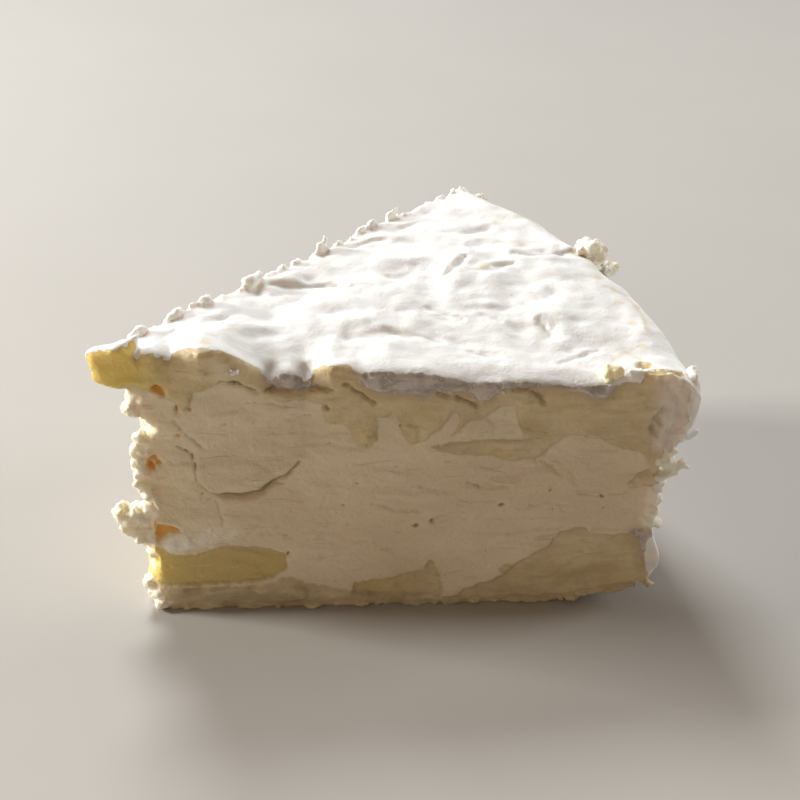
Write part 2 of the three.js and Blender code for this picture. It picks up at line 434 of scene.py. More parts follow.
def cut_slice():
    """A low round wheel with rounded edges, cut twice from its axis, with the tip of the point broken off."""
    bpy.ops.object.select_all(action="DESELECT")
    bpy.ops.mesh.primitive_cylinder_add(
        vertices=180,
        radius=WHEEL_RADIUS * MM,
        depth=WHEEL_HEIGHT * MM,
        location=Vector(AXIS) * MM + Vector((0, 0, WHEEL_HEIGHT / 2 * MM)),
    )
    wheel = bpy.context.object
    settle_at_origin(wheel)
    for height, rounding in ((WHEEL_HEIGHT, TOP_ROUNDING), (0.0, FOOT_ROUNDING)):
        bpy.ops.object.mode_set(mode="EDIT")
        bpy.ops.mesh.select_mode(type="EDGE")
        bpy.ops.mesh.select_all(action="DESELECT")
        bpy.ops.object.mode_set(mode="OBJECT")
        for edge in wheel.data.edges:
            edge.select = all(abs(wheel.data.vertices[v].co.z - height * MM) < 1e-5 for v in edge.vertices)
        bpy.ops.object.mode_set(mode="EDIT")
        bpy.ops.mesh.bevel(offset=rounding * MM, segments=7)
        bpy.ops.object.mode_set(mode="OBJECT")
    bpy.ops.object.mode_set(mode="EDIT")
    cut((0, 0), (0, -1))
    cut((0, 0), FAR_CUT)
    cut(POINT_BREAK * POINT_WAY, -POINT_WAY)
    bpy.ops.object.mode_set(mode="OBJECT")
    apply_modifier(wheel, "REMESH", mode="VOXEL", voxel_size=SLICE_CELL * MM)
    wheel.name = "slice"
    return wheel


def top_height(x, y):
    """Height of the rind's top: pillowy wrinkles, with listed dents, sagging to the near cut's edge."""
    radius = np.hypot(x, y)
    flat = np.stack([x, y, np.zeros_like(x)], -1)
    plain = 55.4 - 1.4 * smooth((radius - 62) / 42) + read(EDGE_SAG, x) * (1 - smooth(y / 44))
    plain += read(POINT_HUMPS, x) * (1 - smooth(y / 12))
    plain += 2.6 * smooth((y - 36) / 36) * smooth((108 - radius) / 16 + 0.35)
    bent_x = x * 0.94 - y * 0.34 + 7 * grain(flat, 26, 1, shift=5.7)
    bent_y = x * 0.34 + y * 0.94 + 7 * grain(flat, 26, 1, shift=9.1)
    bent = np.stack([bent_x, bent_y, 0 * x], -1)
    billow = np.abs(grain(bent, 17, 1, (1.4, 1, 1), 3.3)) + 0.4 * np.abs(grain(bent, 7, 1, (1.3, 1, 1), 8.1))
    swell = 1.7 * (billow - 0.3) + 0.9 * grain(flat, 30, 1, (1.3, 1, 1), 1.7)
    swell += 0.35 * grain(flat, 5.5, 2, shift=4.9)
    loose_x = x + 1.8 * grain(flat, 5, 2, shift=12.3)
    loose_y = y + 1.8 * grain(flat, 5, 2, shift=15.7)
    for dx, dy, length, width, turn, depth in TOP_DENTS:
        c, s = math.cos(math.radians(turn)), math.sin(math.radians(turn))
        u = ((loose_x - dx) * c + (loose_y - dy) * s) / length
        v = ((loose_y - dy) * c - (loose_x - dx) * s) / width
        swell -= 0.85 * depth * bell(u, v)
        swell += 0.3 * depth * bell(u, v - 1.9)
    for path, depth in TOP_CREASES:
        off = distance_to(path, x + 0.5 * grain(flat, 3), y)
        swell += depth * (0.5 * bell(off / 2.6) - bell(off / 0.55))
    hem_width = 2.6 + 3.2 * smooth((x - 9) / 3) * (1 - smooth((x - 18) / 8))
    behind_hem = smooth((y - 0.3) / hem_width)
    return mix(read(NEAR_EDGE, x), plain + swell * (0.3 + 0.7 * smooth(y / 12)), behind_hem)


def foot_curl(x, y, height):
    """How far the foot lifts off the board at the near end of the wall."""
    return 3.6 * smooth((x - 80) / 24) * smooth(1 - y / 26) * smooth(1 - height / 30)


def shape_slice(wedge):
    """Presses the plain slice into the slumped one, and returns which face each vertex lies on."""
    p = take_spots(wedge)
    x, y, z = p.T
    radius, around = np.hypot(x, y), np.arctan2(y, x)
    face = np.zeros(len(p), int)
    face[x * FAR_CUT[0] + y * FAR_CUT[1] > -0.5] = FAR
    face[y < 0.5] = NEAR
    face[x * POINT_WAY[0] + y * POINT_WAY[1] < POINT_BREAK + 0.5] = POINT
    face[z > WHEEL_HEIGHT - 0.5] = RIND
    face[z < 0.5] = RIND
    share = z / WHEEL_HEIGHT
    near_point = smooth(1 - (radius - POINT_BREAK) / POINT_PULL)
    pulled = 1 - 6.6 * near_point / radius
    top = top_height(x * pulled, y * pulled)
    height = share * top
    back = read(POINT_OUTLINE, height) - POINT_BREAK
    wave = 0.8 * grain(np.stack([around * 60, height * 0.8, 0 * x], -1), 9) + 1.4 * np.sin(math.pi * share)
    wave += 0.1 + 1.4 * smooth((around - 0.6) / 0.2) + 1.2 * bell((around - 0.2) / 0.12)
    wave -= 1.6 * bell((around - 0.73) / 0.045)
    near_wall = read(WALL_OUTLINE, height * WHEEL_HEIGHT / np.maximum(top, 1)) - WHEEL_RADIUS
    wall = mix(near_wall, wave, smooth(around / 0.3))
    stretch = back * near_point + wall * smooth((radius - 74) / 28)
    x = x + stretch * np.cos(around)
    y = y + stretch * np.sin(around)
    near_pull = smooth(1 - y / 4)
    swell = read(NEAR_SWELL, x) * smooth(1 - (top - height) / 8.5)
    y = y - swell * near_pull
    put_spots(wedge, np.stack([x, y, height + foot_curl(x, y, height)], -1))
    return face


# ---- Lumps of curd, flaps and crumbs ----

RIND, NEAR, FAR, POINT, CURD, CREAM, SKIN, FOOT = range(8)

# Lumps pressed into the cheese: kind, centre, half sizes and turn in degrees about x, y and z.
LUMPS = [
    # the big curd on the point, and where it leaves the paste
    (CURD, (2.9, 1.6, 20.6), (2.5, 1.9, 1.8), (0, 14, 0)),
    (CURD, (5.6, 1.8, 20.6), (2.6, 2.1, 2), (0, 0, 20)),
    (CURD, (4.2, 1.7, 18.6), (2.3, 1.8, 2), (0, -30, 0)),
    (CURD, (6.2, 1.8, 16.9), (2.4, 1.9, 2.4), (0, -20, 0)),
    (CURD, (7.6, 1.2, 21.9), (1.7, 1.4, 1.5), (0, 0, 0)),
    # the row above it
    (CURD, (7.2, 1.4, 37.2), (1.3, 1.3, 1), (0, 0, 0)),
    (CURD, (7, 1.5, 34.9), (1.7, 1.7, 1.6), (0, 0, 0)),
    (CURD, (7, 1.3, 32.4), (1.6, 1.6, 1.6), (0, 0, 0)),
    (CURD, (6.7, 1.3, 30.2), (1.5, 1.6, 1.3), (0, 0, 0)),
    (CURD, (7.2, 1.3, 27.7), (1.8, 1.6, 1.4), (0, 0, 0)),
    (CURD, (7.9, 1.3, 25.4), (1.4, 1.5, 1.4), (0, 0, 0)),
    # under the rind's lip
    (CURD, (6.3, 1.2, 44.2), (1.9, 1.5, 0.9), (0, -25, 0)),
    (CURD, (6.9, 1.4, 42.6), (1.6, 1.5, 0.9), (0, 15, 0)),
    (CURD, (6.9, 1.4, 46.1), (1.6, 1.6, 1.2), (0, 0, 0)),
    # the foot of the point
    (CURD, (6.6, 1.5, 5.1), (1.8, 1.6, 1.1), (0, 10, 0)),
    (CURD, (7.7, 1.4, 3.1), (1.8, 1.7, 1.2), (0, 0, 0)),
    (CURD, (9, 1, 1.3), (2.2, 1.8, 1.1), (0, 0, 0)),
    # smears that the knife left on the near cut
    (CURD, (12.4, 0.3, 15.2), (3, 0.9, 2.2), (0, -12, 0)),
    (CURD, (17.5, 0.4, 16.4), (5.5, 0.6, 1.6), (0, -10, 0)),
    (CREAM, (48.4, 0.2, 38.2), (1.2, 0.8, 2.4), (0, 12, 0)),
    (CREAM, (56.3, 0.2, 38.8), (1.3, 0.8, 2), (0, 0, 0)),
    # folds of the rind's roll over the wall
    (SKIN, (103.4, 2.4, 42), (3.4, 2.5, 5.8), (0, 6, 0)),
    (SKIN, (106.3, 2.8, 43.2), (1.6, 2.6, 4.8), (0, 0, 0)),
    (SKIN, (106.5, 2.4, 47.6), (0.8, 1, 1.7), (0, 12, 0)),
    (SKIN, (102.4, 1.7, 37), (2.8, 1.8, 3), (0, 28, 0)),
    # torn flaps below the roll
    (SKIN, (106.3, 1.8, 35.2), (1.9, 0.8, 0.6), (0, -18, 15)),
    (CURD, (102.3, 0.9, 33.6), (0.6, 0.8, 1.9), (0, 5, 0)),
    (CURD, (103.4, 0.8, 32.5), (1.4, 0.9, 0.6), (0, -30, 0)),
    (CURD, (102.6, 0.6, 31.2), (1.6, 1.1, 1), (0, 0, 0)),
    (CURD, (104.4, 0.4, 30), (2.8, 1.1, 0.7), (0, 14, 12)),
    (CURD, (105.8, 0.6, 30.4), (0.9, 0.7, 0.5), (0, -30, 0)),
    (CURD, (102.4, 0.2, 28.2), (2.6, 1.6, 1), (0, -8, 0)),
    (CREAM, (99.4, -0.1, 27.2), (3.2, 0.9, 1.1), (0, -14, 0)),
    (SKIN, (101.7, 1.6, 25.8), (1.6, 2, 1.5), (0, 0, 0)),
    (CURD, (100.9, 0.9, 23.2), (1.7, 1.5, 1.7), (0, 0, 0)),
    (CURD, (100.8, 0.8, 20.6), (1.4, 1.4, 1.6), (0, 0, 0)),
    (CURD, (101.3, 0.6, 17.8), (2, 1.3, 1.1), (0, 18, 0)),
    # the torn corner of the rind
    (SKIN, (96.2, 0.9, 49.2), (2.2, 1.6, 1.7), (0, -10, 0)),
    # standing flaps of rind along the far cut's upper edge
    (SKIN, (38.6, 41.5, 53.8), (2, 0.7, 1.8), (0, -30, 47)),
    (SKIN, (39.6, 42.6, 55.4), (1.7, 0.55, 2), (0, 12, 47)),
    (SKIN, (40.3, 43.4, 56.8), (1, 0.45, 1.3), (0, 8, 47)),
    (SKIN, (42.9, 46, 55), (0.9, 0.45, 1.4), (0, 14, 47)),
    (SKIN, (47.2, 50.7, 55.8), (1.9, 0.6, 0.9), (0, -32, 47)),
    (SKIN, (49.4, 53.1, 56.6), (1.8, 0.5, 0.9), (0, -24, 47)),
    (SKIN, (54, 57.8, 56.9), (1.9, 0.5, 0.8), (0, -18, 47)),
    # low mounds that the knife rolled up along the same edge, nearer the point
    (SKIN, (7.6, 7.4, 55), (2, 0.9, 1.1), (0, -10, 47)),
    (SKIN, (13.4, 13.8, 55.4), (2.2, 0.8, 1), (0, -16, 47)),
    (SKIN, (18.4, 18.8, 55.4), (1.7, 1, 1.3), (0, -34, 47)),
    (SKIN, (26.6, 28, 55.6), (2.6, 1, 1.2), (0, -24, 47)),
    (SKIN, (31.8, 33.6, 55.2), (1.9, 0.8, 0.9), (0, -10, 47)),
]


def make_lump(name, centre, half_sizes, turn, seed, faces, knobs, torn):
    """A ball with knobs, torn flat on some sides, pulled to its half sizes and turned."""
    bpy.ops.object.select_all(action="DESELECT")
    bpy.ops.mesh.primitive_ico_sphere_add(subdivisions=faces, radius=MM, location=Vector(AXIS) * MM)
    lump = bpy.context.object
    lump.name = name
    settle_at_origin(lump)
    ball = take_spots(lump)
    place = ball * np.array(half_sizes) + np.array(centre) + seed
    bulge = 1 + knobs * (grain(place, 1.7) + 0.6 * grain(place, 0.8)) + 0.15 * grain(ball, 1.6, shift=seed)
    rng = np.random.default_rng(int(seed * 100) + 5)
    sides = rng.normal(size=(12, 3))
    sides /= np.linalg.norm(sides, axis=1)[:, None]
    flat = np.min(rng.uniform(0.55, 1.05, 12) / np.maximum(ball @ sides.T, 0.08), axis=1)
    bulge = mix(bulge, np.minimum(flat, 1.35) + bulge - 1, torn)
    turned = np.array(Euler([math.radians(angle) for angle in turn]).to_matrix().transposed())
    put_spots(lump, (ball * bulge[:, None] * np.array(half_sizes)) @ turned + np.array(centre))
    return lump


def frayed_lumps(rng):
    """Small beads and flakes along the edges where the knife dragged crumbs out."""
    beads = []
    x = 8.5
    while x < 102:
        size = rng.uniform(0.25, 0.8) * (1.3 if x < 40 else 1.0)
        lift = 0.2 * size + float(foot_curl(x, 0, 0)) + rng.uniform(0, 0.3)
        place = (x, 0.2 + rng.uniform(-0.9, 0.3), lift)
        beads.append((FOOT, place, (size * rng.uniform(1.0, 2.6), size, size * 0.7), (0, rng.uniform(-15, 15), 0)))
        x += size * rng.uniform(0.8, 3.4)
    reach = 9.0
    while reach < 106:
        size = rng.uniform(0.3, 0.8)
        out = rng.uniform(-0.9, 0.1)
        place = reach * FAR_WAY + out * FAR_CUT
        level = float(top_height(place[:1], place[1:])[0]) - 0.5 * size + rng.uniform(-0.3, 0.3)
        shape = (size * rng.uniform(2.0, 4.0), max(size * 0.4, 0.3), size)
        beads.append((SKIN, (*place, level), shape, (rng.uniform(-20, 20), rng.uniform(-30, 30), 47)))
        foot = rng.uniform(0.3, 0.8)
        beads.append((FOOT, (*place, 0.3 * foot), (foot * 3.0, foot * 0.6, foot * 0.7), (0, 0, 47)))
        reach += rng.uniform(2.5, 8)
    height = 8.0
    while height < 45:
        size = rng.uniform(0.4, 1.2)
        back = float(read(POINT_OUTLINE, height)) + rng.uniform(-0.2, 0.7)
        sweep = rng.uniform(0.1, 0.75)
        place = (back * math.cos(sweep), back * math.sin(sweep), height)
        beads.append((CURD, place, (size * rng.uniform(0.8, 1.4), size, size * 0.8), (0, rng.uniform(-40, 40), 0)))
        height += size * rng.uniform(0.8, 2.2)
    return beads


def deepest(outlines, x, z):
    return np.maximum.reduce([depth_in(outline, x, z) for outline in outlines])


def cream_depth(x, z):
    """Depth in the cream line under the rind, and in the one above the foot."""
    spots = [size - np.hypot((x - cx) * 0.8, z - cz) for cx, cz, size in SMALL_CREAMS]
    upper = np.maximum.reduce([deepest((UPPER_CREAM, MIDDLE_CREAM), x, z), *spots])
    return upper, deepest((LEFT_FOOT_CREAM, MIDDLE_FOOT_CREAM, RIGHT_FOOT_CREAM), x, z)


def near_rind_depth(x, z, ragged_x):
    return np.maximum(z - read(RIND_DRAG, x), deepest((RIND_FOOT, RIND_RIM), ragged_x, z))


def crack_width(x):
    """The long crack gapes in its lower run and closes to a hair at both ends."""
    return 0.45 + 1.15 * smooth((x - 19) / 4) * smooth((37 - x) / 9)


def wander(p):
    """x and z on the near cut, gone ragged for the edges drawn there, and a little for its cracks."""
    x, z = p[:, 0], p[:, 2]
    flat = p * np.array([1, 0, 1])
    ragged_x = x + 0.8 * grain(flat, 4.2, 2, shift=2.6) + 0.35 * grain(flat, 1.4, 2, shift=6.6)
    ragged_z = z + 0.6 * grain(flat, 4.2, 2, shift=11.6) + 0.35 * grain(flat, 1.4, 2, shift=14.6)
    return ragged_x, ragged_z, mix(x, ragged_x, 0.35), mix(z, ragged_z, 0.35)


def near_relief(p):
    """How far the near cut stands out at a place: sheets, smears, drags, cracks and holes."""
    ragged_x, ragged_z, x, z = wander(p)
    upper, lower = cream_depth(ragged_x, ragged_z)
    rind = near_rind_depth(p[:, 0], ragged_z, ragged_x)
    flat = p * np.array([1, 0, 1])
    relief = 0.75 * grain(flat, 15, 1, (1.8, 1, 1), 2.2) + 0.38 * grain(flat, 6, 1, (2.2, 1, 1), 5.5)
    relief += 0.24 * grain(flat, 2.4, 2, (2.2, 1, 1), 7.7)
    torn_sheet = grain(flat, 7, 3, (2.6, 1, 1), 17.2)
    relief += 0.30 * smooth((torn_sheet - 0.16) / 0.05) - 0.25 * smooth((-torn_sheet - 0.22) / 0.05)
    relief += 0.45 * smooth(upper / 0.6) - 0.65 * smooth((lower + 0.2) / 0.5)
    relief += 0.75 * smooth(rind / 0.6) * smooth((ROLL_START - ragged_x) / 4)
    over = z - read(CRACK[3:], x)
    flake = smooth(over / 0.4) * np.exp(-np.clip(over, 0, 60) / 6.5)
    relief += 1.05 * flake * smooth((x - 15.5) / 2.5) * smooth((38 - x) / 4)
    relief -= 0.9 * crack_width(x) * bell(distance_to(CRACK, x, z) / (0.5 * crack_width(x)))
    relief += 0.6 * grain(flat, 2.4, 3, (0.6, 1, 1.8), 23.1) * smooth((x - ROLL_START) / 2) * smooth((z - 31) / 3)
    for path in SHORT_CRACKS:
        depth = 0.6 if path[0][1] > UNDER_RIND else 0.3
        relief -= depth * bell(distance_to(path, ragged_x, ragged_z) / 0.34)
    for path, depth in ROLL_FOLDS:
        relief -= depth * bell(distance_to(path, x, z) / 0.6)
    for hx, hz, size in AIR_HOLES:
        relief -= 1.7 * min(size, 1.2) * np.exp(-((((x - hx) ** 2 + (z - hz) ** 2) / size**2) ** 1.5))
    for outline in CAVITIES:
        relief -= 1.9 * smooth((depth_in(outline, x, z) + 0.15) / 1.1)
    relief += 0.6 * smooth(depth_in(FOOT_RIND, x, z) / 0.5)
    return relief


def far_cut(p):
    """On the far cut: depth in the rind, depth in the cream line, and how far the face stands out."""
    x, y, z = p.T
    reach = x * FAR_WAY[0] + y * FAR_WAY[1]
    flat = np.stack([reach, 0 * x, z], -1)
    along = flat * [1, 0, 0]
    below_top = z - top_height(x, y)
    hem = 2.6 + 2.2 * grain(along, 9, 2, shift=4.4)
    rind = np.maximum(below_top + hem, reach - 101.5 + grain(flat, 5))
    upper = below_top + 12 + 5 * grain(along, 11, 2, shift=9.2) + 1.2 * grain(flat, 3)
    lower = 8 - z + 6 * grain(along, 13, 2, shift=1.2) + grain(flat, 3)
    cream = np.maximum(np.maximum(upper, lower), reach - 97 + 2 * grain(flat, 6))
    relief = 0.9 * grain(flat, 14, 1, (1.8, 1, 1), 6.1) + 0.4 * grain(flat, 5, 2, (2, 1, 1), 3.9)
    relief += 0.4 * smooth(upper) - 0.5 * smooth(lower) + 0.7 * smooth(rind)
    return rind, cream, relief


def tear_depth(p):
    """Depth in the torn patch of rind where the near cut meets the wall, negative outside it."""
    x, y, _ = p.T
    hole = 1.5 - np.hypot(x - 97.8, y - 4.0) + 0.9 * grain(p, 1.8, 3, shift=5.1)
    strip = np.minimum(1.6 - y + 1.5 * grain(p, 2.6, 2, shift=3.1), np.minimum(x - 96.6, 104.6 - x))
    return np.maximum(hole, strip)


def grow_together():
    """The slice and its lumps in one skin, and which kind of cheese lies at each vertex."""
    rng = np.random.default_rng(47)
    parts = [cut_slice()]
    kinds = [shape_slice(parts[0])]
    spots = [take_spots(parts[0])]
    for number, (kind, centre, half_sizes, turn) in enumerate(LUMPS + frayed_lumps(rng)):
        small = max(half_sizes) < 1.4
        torn = 0.85 if kind == SKIN and small else 0.6 if centre[0] > ROLL_START else 0.1
        lump = make_lump(f"lump_{number}", centre, half_sizes, turn, number * 3.7, 2 if small else 3, 0.38, torn)
        parts.append(lump)
        spots.append(take_spots(lump))
        kinds.append(np.full(len(spots[-1]), kind))
    cheese = join_all(parts, "cheese")
    apply_modifier(cheese, "REMESH", mode="VOXEL", voxel_size=CHEESE_CELL * MM)
    cheese = drop_specks(cheese)
    return cheese, nearest_marks(np.concatenate(spots), np.concatenate(kinds), take_spots(cheese))


def round_corners(cheese, weights, edges):
    """Where two faces meet, the soft cheese is rounded off."""
    p = take_spots(cheese)
    cuts = weights[NEAR] + weights[FAR] + weights[POINT]
    corner = np.clip(4 * weights[RIND] * cuts, 0, 1) * smooth((p[:, 2] - 3) / 3)
    p = mix(p, even_out(p, edges, 2), corner[:, None])
    put_spots(cheese, p)
    return p


def roughen(cheese, p, kind, weights, edges):
    """Moves the skin in and out: smears and cracks on the cuts, down on the rind, and knobs on the curds."""
    x, y, z = p.T
    normals = even_out(take_normals(cheese), edges, 3)
    normals /= np.linalg.norm(normals, axis=1)[:, None]
    out = np.zeros_like(p)
    off_base = smooth(z / 2.5)

    # the two cuts and the torn point
    out[:, 1] = -near_relief(p) * weights[NEAR] * off_base
    out[:, :2] += (far_cut(p)[2] * weights[FAR] * off_base)[:, None] * FAR_CUT
    torn = (0.9 * grain(p, 3.2, 3) + 0.35 * np.abs(grain(p, 1.3))) * (1 - 0.75 * smooth((z - 46) / 4))
    out += (torn * weights[POINT] * off_base)[:, None] * normals

    # the rind: sunk where it is torn, downy and finely wrinkled, with broad folds down the wall
    high = smooth((z - 40) / 4)
    sunk = 0.7 * smooth(tear_depth(p) / 0.8) * high * (1 - 1.2 * grain(p, 1.6, 3))
    hollow = 1.5 * bell((x - 95.7) / 1.3, (y - 1.6) / 1.3) * high
    out[:, 2] -= (sunk + hollow) * (1 - weights[NEAR])
    down = 0.13 * grain(p, 3.4, 2, (1.7, 1, 1)) + 0.05 * grain(p, 1.5, 2, (1.4, 1, 1), 2.0)
    wall_folds = 0.45 * grain(p, 8, 2, (1, 1, 1.6), 1.1) * smooth((np.hypot(x, y) - 99) / 4)
    out += ((down + wall_folds) * weights[RIND] * smooth(z / 3))[:, None] * normals

    # the curds and flaps
    lumpy = even_out((kind >= CURD).astype(float), edges, 2) * smooth(z / 0.8)
    knobs = 0.36 * grain(p, 1.5, 2) + 0.55 * np.abs(grain(p, 1.3, 2, shift=7.7))
    out += (knobs * lumpy)[:, None] * normals

    p = p + out
    p[:, 2] = np.maximum(p[:, 2], 0)
    put_spots(cheese, p)
    return p


def skin_and_cream(before, p, kind):
    """Depth in the rind and in the cream line. before is where the skin lay until it was roughened to p."""
    x, y, z = before.T
    ragged_x, ragged_z, _, _ = wander(before)
    upper, lower = cream_depth(ragged_x, ragged_z)
    near_rind = near_rind_depth(x, ragged_z, ragged_x)
    far_rind, far_cream, _ = far_cut(before)
    point_rind = z - top_height(x, y) + 1.6 + 0.5 * grain(p, 2)
    point_cream = np.maximum(z - 47.5, np.minimum(z - 6, 14 - z))
    faces = [kind == RIND, kind == NEAR, kind == FAR, kind == POINT]
    skin = np.select([*faces, kind == SKIN], [DEEP, near_rind, far_rind, point_rind, DEEP], -DEEP)
    near_cream = np.maximum(upper, lower)
    cream = np.select([*faces, kind == CREAM], [DEEP, near_cream, far_cream, point_cream, DEEP], -DEEP)

    # the cream line shows on the front of the two humps, and where the rind is torn
    off_humps = smooth(np.abs(x - 22) - 7.5) * smooth(np.abs(x - 42) - 3.5)
    crest = 1.6 * (y + read(NEAR_SWELL, x) - 0.7) + 0.35 * grain(p, 1.6, 2) + 9 * off_humps
    bare = np.minimum(skin, np.minimum(-tear_depth(before), crest))
    skin = np.where((kind == RIND) & (z > 40), bare, skin)
    return np.clip(skin, -DEEP, DEEP), np.clip(cream, -DEEP, DEEP)


def mark_cheese(cheese, before, p, kind, weights, edges):
    """Keeps on each vertex what its finish needs. before is where the skin lay until it was roughened to p."""
    x, y, z = before.T
    ragged_x, ragged_z, soft_x, soft_z = wander(before)
    skin, cream = skin_and_cream(before, p, kind)
    high_rind = weights[RIND] * smooth((z - 40) / 5)

    foot = np.where(kind == NEAR, np.clip(depth_in(FOOT_RIND, x, z), -DEEP, DEEP), -DEEP)
    foot = np.where(kind == FOOT, DEEP, foot)
    holes = smooth(deepest(CAVITIES, soft_x, soft_z) / 0.7 + 0.35)
    for hx, hz, size in AIR_HOLES:
        off = np.hypot(ragged_x - hx, ragged_z - hz) / (size * 1.15)
        holes = np.maximum(holes, bell(off**2))

    # the cracks, the first two roll folds and the top's creases are painted dark, as shade inside them
    crack = distance_to(CRACK, soft_x, soft_z) / (0.9 * crack_width(x))
    for path in SHORT_CRACKS + [path for path, _ in ROLL_FOLDS[:2]]:
        faint = 0.0 if path[0][1] > UNDER_RIND or path[0][0] > ROLL_START else 0.34
        crack = np.minimum(crack, 1.5 * distance_to(path, ragged_x, ragged_z) + faint)
    creased = np.maximum.reduce([depth * bell(distance_to(path, ragged_x, y) / 0.6) for path, depth in TOP_CREASES])
    rubs = np.maximum.reduce(
        [bell((x - rx) / size, (y - ry) / size) for rx, ry, size in RUBS]
        + [bell(distance_to(path, ragged_x, y) / 0.9) for path in RUB_LINES]
    )

    folds = smooth((x - 97.6) / 2.4) * smooth((107.2 - x) / 2.6) * (y < 9) * smooth((z - 32) / 3)
    grey_patch = bell((x - 22.6) / 2.0, (z - 52.6) / 3.0)
    at_roll = smooth((x - 103) / 1.6) * smooth((z - 32) / 3) + smooth((x - 100) / 1.6) * smooth((16 - z) / 3)
    on_cut = (weights[NEAR] + weights[FAR] + weights[POINT]) * (1 - at_roll)
    keep_values(
        cheese,
        rind=even_out(skin, edges, 1),
        cream=even_out(cream, edges, 1),
        foot=even_out(foot, edges, 1),
        fold=even_out(np.maximum(folds, 0.6 * grey_patch) * (kind != RIND), edges, 3),
        roll=even_out(np.maximum(smooth((x - 97.5) / 5), grey_patch), edges, 1),
        hole=holes * (weights[NEAR] + weights[POINT]),
        crack=np.maximum(bell(crack / 0.55) * weights[NEAR], creased * high_rind),
        # curd marks the curds, which the finish paints paler as painted light
        curd=even_out((kind == CURD).astype(float), edges, 1),
        rub=rubs * high_rind,
        cut=np.clip(on_cut, 0, 1),
        # thin is nearness to the point, where a glow of light through the thin cheese is painted
        thin=np.exp(-np.clip(np.hypot(x, y) - 4, 0, 99) / 6.8) * ~np.isin(kind, (RIND, SKIN)),
    )


def make_cheese():
    cheese, kind = grow_together()
    edges = take(cheese.data.edges, "vertices", 2, int)
    weights = {face: even_out((kind == face).astype(float), edges, 4) for face in (RIND, NEAR, FAR, POINT)}
    before = round_corners(cheese, weights, edges)
    p = roughen(cheese, before, kind, weights, edges)
    mark_cheese(cheese, before, p, kind, weights, edges)
    triangles = 2 * len(cheese.data.polygons)
    if triangles > MOST_TRIANGLES:
        apply_modifier(cheese, "DECIMATE", decimate_type="COLLAPSE", ratio=MOST_TRIANGLES / triangles)
    select_only(cheese)
    bpy.ops.object.shade_smooth()
    return cheese


# Loose crumbs of curd, cream line and rind: kind, centre, half sizes and how many torn bits make each up.
CRUMBS = [
    (CURD, (93.6, 45.6, 53.4), (4.3, 2.8, 3), 26),
    (CURD, (97.3, 41.4, 51), (2.7, 2.1, 2), 14),
    (CREAM, (91.5, 0.8, 49.2), (2.2, 1.6, 1.6), 16),
    (CURD, (68.4, 76.2, 55), (1, 0.8, 0.9), 6),
    (CURD, (74, 72.6, 54.8), (2, 1.4, 1.3), 12),
    (CURD, (47.6, 28.8, 54.1), (0.5, 0.4, 0.4), 2),
    (CURD, (51.4, 18.2, 53.6), (0.3, 0.3, 0.3), 2),
    (SKIN, (24.6, -1.9, 52), (1.8, 0.7, 0.9), 8),
    (SKIN, (32.4, -0.9, 50.2), (1, 0.5, 0.5), 4),
    (SKIN, (49.8, -1.2, 49.1), (0.8, 0.4, 0.5), 4),
    (SKIN, (72.2, -1.4, 46.9), (1.1, 0.5, 0.6), 5),
]


def make_crumbs():
    rng = np.random.default_rng(11)
    parts, marks = [], []
    for kind, centre, half_sizes, count in CRUMBS:
        reach = np.array(half_sizes)
        for _ in range(count):
            bit = min(half_sizes) * rng.uniform(0.3, 0.6) * (1.3 if kind == CREAM else 1.0)
            way = rng.normal(size=3)
            place = np.array(centre) + way / np.linalg.norm(way) * (reach - 0.7 * bit) * rng.uniform(0.3, 1.0)
            shape = bit * rng.uniform(0.7, 1.4, 3)
            turn = rng.uniform(0, 180, 3)
            crumb = make_lump("bit", place, shape, turn, len(parts) * 1.9, 3, 0.2, 0.9)
            parts.append(crumb)
            marks += [kind] * len(crumb.data.vertices)
    crumbs = join_all(parts, "crumbs")
    spots = take_spots(crumbs)
    apply_modifier(crumbs, "REMESH", mode="VOXEL", voxel_size=CRUMB_CELL * MM)
    p = take_spots(crumbs)
    kind = nearest_marks(spots, np.array(marks), p)
    put_spots(crumbs, p + (0.14 * grain(p, 0.8, 2))[:, None] * take_normals(crumbs))
    nothing = np.zeros(len(p))
    keep_values(
        crumbs,
        rind=np.where(kind == SKIN, DEEP, -DEEP),
        # the crumb of cream line takes the painted glow of light coming through
        thin=np.where(kind == CREAM, 1.6, 0.0),
        # every crumb is painted pale like the lit curds
        curd=nothing + 1,
        **dict.fromkeys(("cream", "foot"), nothing - DEEP),
        **dict.fromkeys(("hole", "crack", "rub", "fold", "cut", "roll"), nothing),
    )
    bpy.ops.object.shade_smooth()
    return crumbs


# ---- Finishes ----


class Value:
    """A socket whose arithmetic adds nodes."""

    def __init__(self, finish, socket):
        self.finish, self.socket = finish, socket

    def math(self, operation, first, second):
        return self.finish.node("Math", {"operation": operation}, {0: first, 1: second})

    def __add__(self, other):
        return self.math("ADD", self, other)

    def __sub__(self, other):
        return self.math("SUBTRACT", self, other)

    def __rsub__(self, other):
        return self.math("SUBTRACT", other, self)

    def __mul__(self, other):
        return self.math("MULTIPLY", self, other)


